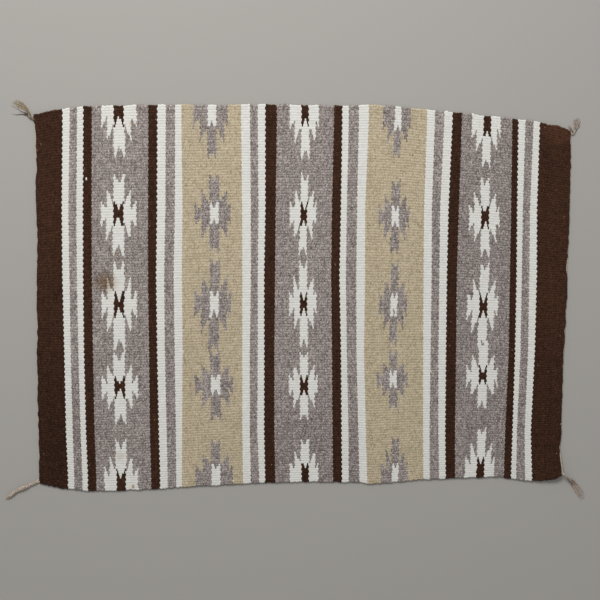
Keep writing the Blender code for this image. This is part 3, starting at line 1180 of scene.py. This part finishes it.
    def face_points(self, wefts: np.ndarray, ribs: np.ndarray, step: int) -> tuple[np.ndarray, ...]:
        """The points of one face. The lower face is the one whose step is over 1.

        Args:
            wefts: weft counts of the face's columns.
            ribs: rib counts of the face's rows.
            step: how many wefts lie between two columns.

        Returns:
            The points in metres, how deep in a gap each lies, and how stained it is.
        """
        x, y = self.weave.plan(wefts, ribs)
        x, y = self.bumped(x, y, wefts, ribs)
        depth, shift, gap = self.relief(wefts, ribs, step)
        inner_row = (ribs > 0.5) & (ribs < self.weave.rib_count - 0.5)
        y = y + shift * inner_row[:, None]
        if ribs[0] > 0.0:
            y[0] += self.seam_gap
        if ribs[-1] < self.weave.rib_count:
            y[-1] -= self.seam_gap
        middle = 0.5 * self.thickness
        height = (middle - np.maximum(depth, -0.25)) * self.edge_factor(wefts, ribs)
        z = np.maximum(middle + height if step == 1 else middle - height, 0.05)
        z = z + self.weave.outline.lift(x, y)
        points = np.stack((x, y, z), axis=-1) * MM
        return points, gap, self.weave.design.stains(x, y)

    def panel(self, number: int, materials: list[bpy.types.Material]) -> bpy.types.Object:
        """One closed panel of the cloth, over a share of the ribs.

        Args:
            number: the panel's number from the bottom, from 0.
            materials: the yarns' materials in the order of Yarn.

        Returns:
            The panel.
        """
        first = round(self.weave.rib_count * number / self.panels)
        last = round(self.weave.rib_count * (number + 1) / self.panels)
        ribs = np.arange(2 * first, 2 * last + 1) / 2.0
        if first == 0:
            ribs = np.insert(ribs, 1, self.weave.edge_row)
        if last == self.weave.rib_count:
            ribs = np.insert(ribs, -1, last - self.weave.edge_row)
        faces, points, gaps, stains, yarns, tones = [], [], [], [], [], []
        grids = []
        for step in (1, 2):
            wefts = self.columns(self.weft_count, step, self.weave.edge_column)
            face_points, gap, stain = self.face_points(wefts, ribs, step)
            ids = np.arange(gap.size).reshape(gap.shape) + sum(len(part) for part in points)
            quads = np.stack((ids[:-1, :-1], ids[:-1, 1:], ids[1:, 1:], ids[1:, :-1]), -1)
            faces.append(quads.reshape(-1, 4)[:, :: 1 if step == 1 else -1])
            points.append(face_points.reshape(-1, 3))
            # The gaps' values set how much dust and painted shade darken the colour there.
            gaps.append((gap * self.gap_darkening(gap.shape)).reshape(-1))
            stains.append(stain.reshape(-1))
            yarns.append(self.shown(self.yarns, ribs, wefts, step))
            tones.append(self.shown(self.tones, ribs, wefts, step))
            grids.append((ids, wefts))
        for wall in self.walls(grids[0][0], grids[1][0]):
            faces.append(wall)
            weft = np.clip(grids[0][1][(wall[:, -1] % grids[0][0].shape[1])], 0, self.weft_count)
            rib = np.clip(np.floor(ribs[wall[:, -1] // grids[0][0].shape[1]]), first, last - 1)
            yarns.append(self.yarns[rib.astype(int), np.round(weft).astype(int)])
            tones.append(self.tones[rib.astype(int), np.round(weft).astype(int)])
        points = np.concatenate(points)
        yarn = np.concatenate(yarns)
        tone = np.concatenate(tones)
        tone = tone + self.random.normal(0.0, 0.05, tone.shape)
        tone = np.minimum(tone, 0.8)
        tone = np.where(self.random.uniform(size=tone.shape) < self.nub_share, 1.0, tone)

        name = f"woven_panel_{number + 1}"
        mesh = bpy.data.meshes.new(name)
        loops = np.concatenate([part.reshape(-1) for part in faces])
        sides = np.concatenate([np.full(len(part), part.shape[1]) for part in faces])
        starts = np.concatenate(([0], np.cumsum(sides)[:-1]))
        mesh.vertices.add(len(points))
        mesh.vertices.foreach_set("co", points.astype(np.float32).reshape(-1))
        mesh.loops.add(len(loops))
        mesh.loops.foreach_set("vertex_index", loops.astype(np.int32))
        mesh.polygons.add(len(sides))
        mesh.polygons.foreach_set("loop_start", starts.astype(np.int32))
        for material in materials:
            mesh.materials.append(material)
        mesh.polygons.foreach_set("material_index", yarn.astype(np.int32))
        mesh.update(calc_edges=True)
        mesh.shade_smooth()
        self.mark_bead_edges(mesh, grids, ribs)
        self.store(mesh, "tone", "FACE", tone)
        self.store(mesh, "crevice", "POINT", np.concatenate(gaps))
        self.store(mesh, "stain", "POINT", np.concatenate(stains))
        self.lay_out(mesh, loops, points, grids[1][0][0, 0], faces[0].size + faces[1].size)
        mesh.validate()
        panel = bpy.data.objects.new(name, mesh)
        bpy.context.scene.collection.objects.link(panel)
        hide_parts(self.node)
        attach(panel, self.body)
        return panel

    @staticmethod
    def walls(upper: np.ndarray, lower: np.ndarray) -> list[np.ndarray]:
        """The narrow faces between the rims of the two faces.

        Args:
            upper: the upper face's point numbers, in rows.
            lower: the lower face's point numbers, in rows, with about half the columns.

        Returns:
            Faces of four and of five points. The last point of each is on the upper rim.
        """
        made = []
        for row, turned in ((0, False), (-1, True)):
            low, high = lower[row], upper[row]
            ends = ((low[0], low[1], high[1], high[0]), (low[-2], low[-1], high[-1], high[-2]))
            starts, middles, stops = high[1:-3:2].copy(), high[2:-2:2], high[3:-1:2].copy()
            stops[-1] = high[-2]
            wide = np.stack((low[1:-2], low[2:-1], stops, middles, starts), -1)
            wide = wide[:, [1, 0, 4, 3, 2]] if turned else wide
            narrow = np.array(ends)
            made += [narrow[:, [1, 0, 3, 2]] if turned else narrow, wide]
        for column, turned in ((0, True), (-1, False)):
            low, high = lower[:, column], upper[:, column]
            wall = np.stack((low[:-1], low[1:], high[1:], high[:-1]), -1)
            made.append(wall[:, [1, 0, 3, 2]] if turned else wall)
        return made

    @staticmethod
    def flat_size(corners: np.ndarray) -> tuple[float, tuple[float, float]]:
        """The flat area of a grid of points in square metres, and the sides of its box."""
        across = (corners[1:, :-1] - corners[:-1, :-1])[..., :2]
        along = (corners[:-1, 1:] - corners[:-1, :-1])[..., :2]
        area = np.abs(along[..., 0] * across[..., 1] - along[..., 1] * across[..., 0]).sum()
        flat = corners.reshape(-1, 3)[:, :2]
        width, length = flat.max(axis=0) - flat.min(axis=0)
        return float(area), (float(width), float(length))

    @staticmethod
    def mark_bead_edges(mesh: bpy.types.Mesh, grids: list, ribs: np.ndarray) -> None:
        """Make the grooves and the ends of the beads sharp, so that each bead looks round.

        Args:
            mesh: the panel's mesh.
            grids: the point numbers and the weft counts of the upper and the lower face.
            ribs: rib counts of the rows.
        """
        ends = np.empty(2 * len(mesh.edges), np.int32)
        mesh.edges.foreach_get("vertices", ends)
        ends = np.sort(ends.reshape(-1, 2), axis=1)
        sharp = np.zeros(len(ends), bool)
        for step, (ids, wefts) in enumerate(grids, start=1):
            first = ids[0, 0]
            inside = (ends[:, 0] >= first) & (ends[:, 1] < first + ids.size)
            local = np.where(inside[:, None], ends - first, 0)
            row_a, column_a = np.divmod(local[:, 0], len(wefts))
            row_b, column_b = np.divmod(local[:, 1], len(wefts))
            groove = (row_a == row_b) & np.isclose(ribs[row_a] % 1.0, 0.0)
            rib = np.floor((ribs[row_a] + ribs[row_b]) / 2.0).astype(int)
            beads = wefts[column_a] / step
            bead_end = (column_a == column_b) & np.isclose(beads % 1.0, 0.0)
            bead_end &= (np.round(beads).astype(int) + rib) % 2 == 0
            sharp |= inside & (groove | bead_end)
        mesh.attributes.new("sharp_edge", "BOOLEAN", "EDGE").data.foreach_set("value", sharp)

    @staticmethod
    def store(mesh: bpy.types.Mesh, name: str, domain: str, values: np.ndarray) -> None:
        """Store a float attribute on the mesh."""
        attribute = mesh.attributes.new(name, "FLOAT", domain)
        attribute.data.foreach_set("value", values.astype(np.float32))

    @staticmethod
    def lay_out(
        mesh: bpy.types.Mesh, loops: np.ndarray, points: np.ndarray, half: int, face_loops: int
    ) -> None:
        """Lay the panel's two faces flat, one over the other, to fill the square of its map.

        Args:
            mesh: the panel's mesh.
            loops: the point of each face corner.
            points: its points.
            half: how many points the upper face has.
            face_loops: how many of the face corners belong to the two faces.
        """
        low = points[:, :2].min(axis=0)
        flat = (points[:, :2] - low) / (points[:, :2].max(axis=0) - low)
        margin = 0.02
        u = margin + (1.0 - 2.0 * margin) * flat[:, 0]
        v = margin / 2.0 + (0.5 - margin) * flat[:, 1]
        lower = np.arange(len(points)) >= half
        places = np.stack((u, v + np.where(lower, 0.0, 0.5)), axis=-1)
        rim = np.stack((u, v + 0.5), axis=-1)
        rim += np.sign(rim - np.array((0.5, 0.75))) * np.array((0.012, 0.006)) * lower[:, None]
        corners = np.concatenate((places[loops[:face_loops]], rim[loops[face_loops:]]))
        layer = mesh.uv_layers.new(name="OFBake")
        layer.data.foreach_set("uv", corners.astype(np.float32).reshape(-1))

    def build(self) -> list[bpy.types.Object]:
        """Build every panel in the four yarns."""
        materials = [wool.material() for wool in (BROWN_WOOL, WHITE_WOOL, GREY_WOOL, GOLD_WOOL)]
        return [self.panel(number, materials) for number in range(self.panels)]


@dataclass(frozen=True)
class Strand:
    """One round strand of wool along a path in millimetres, paler towards its end."""

    path: np.ndarray
    radii: np.ndarray
    hue: CordHue
    tone: float = 0.0
    paler: float = 0.0
    sides: int = 6

    def rings(self) -> np.ndarray:
        """The points of its rings, one ring for each point of the path."""
        ahead = np.gradient(self.path, axis=0)
        ahead /= np.linalg.norm(ahead, axis=1, keepdims=True) + 1e-9
        upright = np.array((0.0, 0.0, 1.0))
        side = np.cross(ahead, upright)
        lengths = np.linalg.norm(side, axis=1, keepdims=True)
        side = np.where(lengths > 1e-3, side / np.maximum(lengths, 1e-3), np.array((1.0, 0.0, 0.0)))
        up = np.cross(side, ahead)
        angles = TAU * np.arange(self.sides) / self.sides
        round_shape = (
            np.cos(angles)[None, :, None] * side[:, None, :]
            + np.sin(angles)[None, :, None] * up[:, None, :]
        )
        return self.path[:, None, :] + self.radii[:, None, None] * round_shape


class StrandWork:
    """Makes strands and turns many of them into one piece."""

    @staticmethod
    def smooth(rows: tuple, step: float) -> tuple[np.ndarray, np.ndarray]:
        """A smooth curve through rows of x, y, z and radius.

        Args:
            rows: the points that it passes through, in millimetres.
            step: the distance between the points that it returns.

        Returns:
            Its points and its radii.
        """
        points = np.array(rows, dtype=float)
        padded = np.concatenate((points[:1], points, points[-1:]))
        made = []
        for before, start, end, after in zip(padded, padded[1:], padded[2:], padded[3:]):
            count = max(2, round(float(np.linalg.norm((end - start)[:3])) / step))
            t = (np.arange(count) / count)[:, None]
            made.append(
                0.5
                * (
                    2.0 * start
                    + (end - before) * t
                    + (2.0 * before - 5.0 * start + 4.0 * end - after) * t**2
                    + (3.0 * start - before - 3.0 * end + after) * t**3
                )
            )
        made.append(points[-1:])
        curve = np.concatenate(made)
        return curve[:, :3], np.maximum(curve[:, 3], 0.3)

    @staticmethod
    def twisted(
        path: np.ndarray, radii: np.ndarray, plies: int, pitch: float, phase: float = 0.0
    ) -> list[tuple[np.ndarray, np.ndarray]]:
        """Strands that wind round a path, side by side, as the plies of a cord do.

        Args:
            path: the cord's middle line.
            radii: the cord's radius at each point.
            plies: how many strands wind together.
            pitch: the length of one full turn.
            phase: where the first ply starts, in turns.

        Returns:
            The path and the radii of each ply.
        """
        steps = np.linalg.norm(np.diff(path, axis=0), axis=1)
        travelled = np.concatenate(([0.0], np.cumsum(steps)))
        ahead = np.gradient(path, axis=0)
        ahead /= np.linalg.norm(ahead, axis=1, keepdims=True) + 1e-9
        side = np.cross(ahead, np.array((0.0, 0.0, 1.0)))
        side /= np.linalg.norm(side, axis=1, keepdims=True) + 1e-9
        up = np.cross(side, ahead)
        # Round plies that touch each other fill a circle: their size follows from their count.
        share = 1.0 / (1.0 + 1.0 / math.sin(math.pi / plies)) if plies > 1 else 1.0
        made = []
        for ply in range(plies):
            angle = TAU * (travelled / pitch + ply / plies + phase)
            offset = np.cos(angle)[:, None] * side + np.sin(angle)[:, None] * up
            reach = radii * (1.0 - share)
            made.append((path + reach[:, None] * offset, radii * share * 1.12))
        return made

    @staticmethod
    def piece(
        name: str, strands: list[Strand], origin: tuple[float, float] = (0.0, 0.0)
    ) -> bpy.types.Object:
        """One object from many strands, each closed at both ends and kept off the floor.

        Args:
            name: the piece's name.
            strands: its strands.
            origin: the plan position that the strands' paths are measured from.

        Returns:
            The piece, with the hues of the cords as materials and a tone for each face.
        """
        points, faces, hues, tones = [], [], [], []
        first = 0
        for strand in strands:
            rings = strand.rings()
            count, sides = rings.shape[:2]
            ids = first + np.arange(count * sides).reshape(count, sides)
            turned = np.roll(ids, -1, axis=1)
            walls = np.stack((ids[:-1], turned[:-1], turned[1:], ids[1:]), -1).reshape(-1, 4)
            faces += walls.tolist() + [ids[0, ::-1].tolist(), ids[-1].tolist()]
            hues += [int(strand.hue)] * (len(walls) + 2)
            along = np.repeat(np.linspace(-0.5, 0.5, count - 1), sides) * strand.paler
            tones += (strand.tone + along).tolist() + [strand.tone] * 2
            points.append(rings.reshape(-1, 3))
            first += count * sides
        places = np.concatenate(points) + np.array((*origin, 0.0))
        places[:, 2] = np.maximum(places[:, 2], 0.06)
        mesh = bpy.data.meshes.new(name)
        mesh.from_pydata((places * MM).tolist(), [], faces)
        for wool in CORD_WOOLS:
            material = bpy.data.materials.get(wool.name) or wool.material()
            mesh.materials.append(material)
        mesh.polygons.foreach_set("material_index", np.array(hues, np.int32))
        WovenCloth.store(mesh, "tone", "FACE", np.array(tones))
        mesh.shade_smooth()
        made = bpy.data.objects.new(name, mesh)
        bpy.context.scene.collection.objects.link(made)
        return made


@dataclass
class CornerCord:
    """What leaves one corner: a plied cord, with its knot, loops and frayed locks.

    Loose fibres are drawn three times as thick as real wool, so that fewer of them show
    the same soft brush.
    """

    name: str
    layout: CornerLayout
    step: float = 0.8
    plies: int = 3
    pitch: float = 17.0
    singles: int = 3
    single_pitch: float = 7.0
    wraps: float = 2.3
    fibre_radius: float = 0.11
    fibre_steps: int = 14
    stack: float = 1.3
    hairs_for_each_mm: float = 4.0
    clearance: float = 0.08
    slot: str = "cord_wool"
    body: str = "root"

    def __post_init__(self) -> None:
        """Seed the corner's own random numbers."""
        self.random = np.random.default_rng(len(self.name) + 10 * len(self.layout.locks))

    def plied(self, rows: tuple) -> list[Strand]:
        """The plied cord along rows of x, y, z and radius, each ply of a few finer singles."""
        path, radii = StrandWork.smooth(rows, self.step)
        strands = self.hairs(path, radii)
        for number, (ply, ply_radii) in enumerate(
            StrandWork.twisted(path, radii, self.plies, self.pitch)
        ):
            hue = self.layout.hues[number % 3]
            for single, single_radii in StrandWork.twisted(
                ply, ply_radii, self.singles, -self.single_pitch, 0.13 * number
            ):
                tone = float(self.random.normal(-0.05, 0.2))
                strands.append(Strand(single, single_radii, hue, tone))
        return strands

    def hairs(self, path: np.ndarray, radii: np.ndarray) -> list[Strand]:
        """The short stray hairs of a cord.

        Args:
            path: the cord's middle line.
            radii: its radius at each point.

        Returns:
            Its hairs, each bent outwards from the cord and down to the floor.
        """
        made = []
        length = float(np.linalg.norm(np.diff(path, axis=0), axis=1).sum())
        for _ in range(round(length * self.hairs_for_each_mm)):
            at = int(self.random.integers(1, len(path) - 1))
            ahead = path[at + 1] - path[at - 1]
            ahead = ahead / np.linalg.norm(ahead)
            aside = np.cross(ahead, (0.0, 0.0, 1.0))
            turn = self.random.uniform(-0.3, math.pi + 0.3)
            outward = math.cos(turn) * aside + np.array((0.0, 0.0, math.sin(turn)))
            slant = ahead * self.random.normal(0.0, 0.8)
            reach = self.random.uniform(0.6, 2.4)
            t = np.linspace(0.0, 1.0, 4)[:, None]
            bend = np.array((0.0, 0.0, -0.9 * reach)) * t**2
            hair = path[at] + outward * (0.8 * radii[at] + reach * t) + slant * reach * t + bend
            hair[:, 2] = np.maximum(hair[:, 2], self.clearance + 0.06)
            size = 0.07 * (1.0 - 0.6 * t[:, 0])
            hue = self.layout.hues[int(self.random.integers(0, 3))]
            made.append(Strand(hair, size, hue, 0.1, sides=3))
        return made

    def knot(self) -> list[Strand]:
        """The knot: the cord's own plies wrapped round it twice and pulled tight."""
        x, y, z, radius = self.layout.knot
        before = np.array(self.layout.cord[-1][:3])
        centre = np.array((x, y, z))
        ahead = centre - before
        ahead /= np.linalg.norm(ahead)
        side = np.cross(ahead, (0.0, 0.0, 1.0))
        side /= np.linalg.norm(side)
        up = np.cross(side, ahead)
        turn = np.linspace(0.0, self.wraps, 40)[:, None]
        angle = TAU * turn + 0.7
        thick = 0.42 * radius
        around = np.cos(angle) * side + np.sin(angle) * up
        along = (turn / self.wraps - 0.5) * 1.5 * radius + 0.25 * radius * np.sin(angle)
        path = centre + (radius - thick) * around + along * ahead
        plies = StrandWork.twisted(path, np.full(len(path), thick), 2, 5.0)
        hues = self.layout.hues
        return [Strand(ply, size, hues[n], -0.1) for n, (ply, size) in enumerate(plies)]

    def loop(self, rows: tuple) -> list[Strand]:
        """A short bit of two-ply cord along rows of x, y, z and radius."""
        path, radii = StrandWork.smooth(rows, 0.5)
        plies = StrandWork.twisted(path, radii, 2, 5.0)
        hue = CordHue.CREAM if rows[1][3] > 0.5 else CordHue.TAUPE
        return [Strand(ply, size, hue, 0.1) for ply, size in plies]

    def lock(self, lock: Lock) -> list[Strand]:
        """One frayed lock, whose fibres fan out, come down to the floor and end one by one.

        Args:
            lock: the lock's wool, count and middle line.

        Returns:
            Its fibres.
        """
        line, widths = StrandWork.smooth([(x, y, 0.0, width) for x, y, width in lock.line], 0.5)
        spans = np.linalg.norm(np.diff(line, axis=0), axis=1)
        places = np.concatenate(([0.0], np.cumsum(spans)))
        places /= places[-1]
        ahead = np.gradient(line, axis=0)
        ahead /= np.linalg.norm(ahead, axis=1, keepdims=True) + 1e-9
        aside = np.stack((-ahead[:, 1], ahead[:, 0], np.zeros(len(line))), axis=-1)
        root = self.layout.knot or self.layout.cord[-2]
        fibres = []
        for _ in range(lock.fibres):
            share = self.random.uniform(-1.0, 1.0)
            length = self.random.uniform(0.4, 1.0) * (1.0 - 0.18 * share * share)
            t = np.linspace(0.0, length, self.fibre_steps)
            wave = self.random.normal(0.0, 0.35) * np.sin(
                TAU * (self.random.uniform(0.6, 1.4) * t + self.random.uniform())
            )
            middle = np.stack([np.interp(t, places, line[:, axis]) for axis in range(3)], -1)
            across = np.stack([np.interp(t, places, aside[:, axis]) for axis in range(3)], -1)
            offset = share * np.interp(t, places, widths) + wave * t
            path = middle + across * offset[:, None]
            size = self.fibre_radius * (1.0 - 0.5 * (t / length) ** 2)
            fall = np.clip(2.5 * t, 0.0, 1.0)
            fall = fall * fall * (3.0 - 2.0 * fall)
            start = root[2] + self.random.uniform(-0.7, 0.7) * root[3]
            low = size + self.clearance + self.random.uniform() * self.stack * (1.0 - 0.7 * t)
            path[:, 2] = np.maximum(start * (1.0 - fall) + low * fall, size + self.clearance)
            tone = float(self.random.normal(-0.02, 0.16))
            fibres.append(Strand(path, size, lock.hue, tone, paler=0.7, sides=3))
        return fibres

    def build(self) -> bpy.types.Object:
        """Build the corner's strands in place of its CAD node."""
        rows = self.layout.cord
        strands = []
        if self.layout.knot:
            rows = (*rows, (*self.layout.knot[:3], rows[-1][3]))
            strands += self.knot()
        strands += self.plied(rows)
        for loop in self.layout.loops:
            strands += self.loop(loop)
        for lock in self.layout.locks:
            strands += self.lock(lock)
        piece = StrandWork.piece(f"{self.name}_wool", strands, self.layout.corner)
        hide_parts(self.name)
        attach(piece, self.body)
        LOG.info("%s: %d strands, %d faces", piece.name, len(strands), len(piece.data.polygons))
        return piece


@dataclass
class EndCord:
    """The plied cord that binds the warps at one end, almost hidden under the wefts."""

    right: bool
    outline: Outline = Outline()
    height: float = 2.1
    radius: float = 0.85
    pitch: float = 6.0
    step: float = 0.9
    slot: str = "cord_wool"
    body: str = "root"

    def build(self) -> bpy.types.Object:
        """Build the cord along its end of the cloth."""
        bottom = self.outline.corner(self.right, False)[1] + 1.5
        top = self.outline.corner(self.right, True)[1] - 1.5
        y = np.arange(bottom, top, self.step)
        left, right = self.outline.ends(y)
        out = np.interp(y, [row[0] for row in END_CORDS], [row[2 if self.right else 1] for row in END_CORDS])
        x = right + out - self.radius if self.right else left - out + self.radius
        z = self.height + self.outline.lift(x, y)
        path = np.stack((x, y, z), axis=-1)
        radii = np.full(len(y), self.radius)
        plies = StrandWork.twisted(path, radii, 2, self.pitch)
        name = "end_cord_right" if self.right else "end_cord_left"
        strands = [Strand(ply, size, CordHue.SAND, 0.12) for ply, size in plies]
        piece = StrandWork.piece(name, strands)
        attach(piece, self.body)
        LOG.info("%s: %.0f mm long", name, top - bottom)
        return piece


@dataclass
class Studio:
    """A plain floor, soft light from above the top edge, and a camera straight above."""

    floor_side: float = 8.0
    floor_drop: float = 0.00005
    camera_height: float = 2.2
    view_width: float = 0.972
    camera_x: float = -0.0057
    camera_y: float = -0.00405
    look_height: float = 0.0046
    sensor: float = 36.0
    dome_strength: float = 0.42
    light_place: tuple[float, float, float] = (-0.38, 1.5, 1.8)
    light_side: float = 0.95
    light_power: float = 43.5

    def floor(self) -> bpy.types.Object:
        """The floor, just under the rug."""
        half = self.floor_side / 2.0
        mesh = bpy.data.meshes.new("studio_floor")
        corners = [(-half, -half), (half, -half), (half, half), (-half, half)]
        mesh.from_pydata([(x, y, -self.floor_drop) for x, y in corners], [], [(0, 1, 2, 3)])
        mesh.materials.append(PlainFloor().material())
        floor = bpy.data.objects.new("studio_floor", mesh)
        bpy.context.scene.collection.objects.link(floor)
        return floor

    def light(self) -> None:
        """An even dome and one broad soft lamp."""
        world = bpy.data.worlds.new("studio")
        world.use_nodes = True
        background = world.node_tree.nodes["Background"]
        background.inputs["Color"].default_value = (1.0, 1.0, 1.0, 1.0)
        background.inputs["Strength"].default_value = self.dome_strength
        bpy.context.scene.world = world
        lamp = bpy.data.lights.new("softbox", "AREA")
        lamp.shape = "SQUARE"
        lamp.size = self.light_side
        lamp.energy = self.light_power
        softbox = bpy.data.objects.new("softbox", lamp)
        softbox.location = self.light_place
        softbox.rotation_euler = (-Vector(self.light_place)).to_track_quat("-Z", "Y").to_euler()
        bpy.context.scene.collection.objects.link(softbox)

    def camera(self) -> None:
        """The camera, looking straight down, with the rug's length across the image."""
        data = bpy.data.cameras.new("above")
        data.sensor_width = self.sensor
        distance = self.camera_height - self.look_height
        data.lens = self.sensor * distance / self.view_width
        camera = bpy.data.objects.new("above", data)
        camera.location = (self.camera_x, self.camera_y, self.camera_height)
        bpy.context.scene.collection.objects.link(camera)
        bpy.context.scene.camera = camera
        bpy.context.scene.view_settings.view_transform = "Standard"

    def build(self) -> None:
        """Set up the camera, the light and the floor."""
        self.camera()
        self.light()
        self.floor()


def main() -> None:
    """Build the studio, the cloth, the corner cords and the end cords, and log each cord."""
    logging.basicConfig(level=logging.INFO, format="%(name)s: %(message)s")
    Studio().build()
    WovenCloth().build()
    for name, layout in CORNERS.items():
        CornerCord(name, layout).build()
    for right in (False, True):
        EndCord(right).build()


if __name__ == "__main__":
    main()
